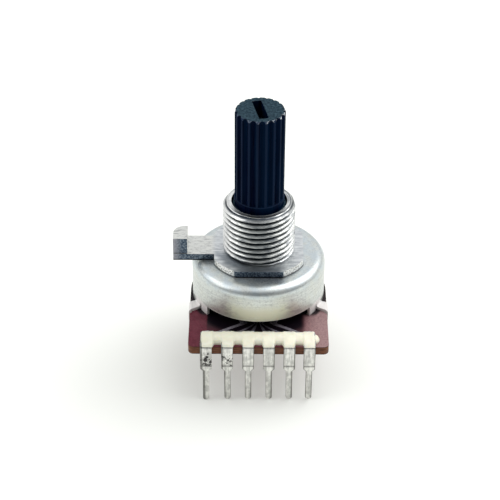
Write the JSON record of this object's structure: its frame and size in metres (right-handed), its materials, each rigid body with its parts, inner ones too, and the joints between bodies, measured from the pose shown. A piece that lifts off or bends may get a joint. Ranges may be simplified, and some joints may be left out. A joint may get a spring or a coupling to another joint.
{
  "type": "rotary potentiometer",
  "caption": "Rotary potentiometer with a knurled plastic shaft, a threaded panel bushing with a locating lug, and a row of solder pins in front of a round metal cover.",
  "frame": {"origin": "on the shaft's axis, at the panel face of the bushing's flange", "axes": "+Z along the shaft to the knob, -Y to the row of pins, -X to the locating lug"},
  "size_m": [0.0198, 0.0211, 0.0349],
  "materials": {
    "shaft_plastic": "semi-gloss black moulding with a blue tinge",
    "rotor_plastic": "matt",
    "spring_metal": "bright spring strip",
    "washer_plastic": "satin",
    "die_cast_zinc": "as cast, grainy satin",
    "plated_steel": "drawn and zinc plated, satin",
    "phenolic": "smooth maroon laminate",
    "tinned_metal": "dull tin",
    "resin": "cast cream resin",
    "printed_track": "screen-printed carbon"
  },
  "bodies": {
    "housing": {"bushing": "die_cast_zinc", "cover": "plated_steel", "wafer": "phenolic", "terminal_1": "tinned_metal", "terminal_2": "tinned_metal", "terminal_3": "tinned_metal", "terminal_4": "tinned_metal", "terminal_5": "tinned_metal", "terminal_6": "tinned_metal", "terminal_rivets": "tinned_metal", "resin_strip": "resin", "outer_resistive_track": "printed_track", "outer_collector_track": "printed_track", "inner_collector_track": "printed_track", "inner_resistive_track": "printed_track"},
    "rotor_body": {"shaft": "shaft_plastic", "rotor": "rotor_plastic", "wiper_outer": "spring_metal", "wiper_inner": "spring_metal", "thrust_washer": "washer_plastic"}
  },
  "joints": [
    {"name": "shaft_turn", "type": "hinge", "parent": "housing", "child": "rotor_body", "pos_m": [0, 0, 0], "axis": [0, 0, 1], "range_deg": [-162, 138]}
  ]
}
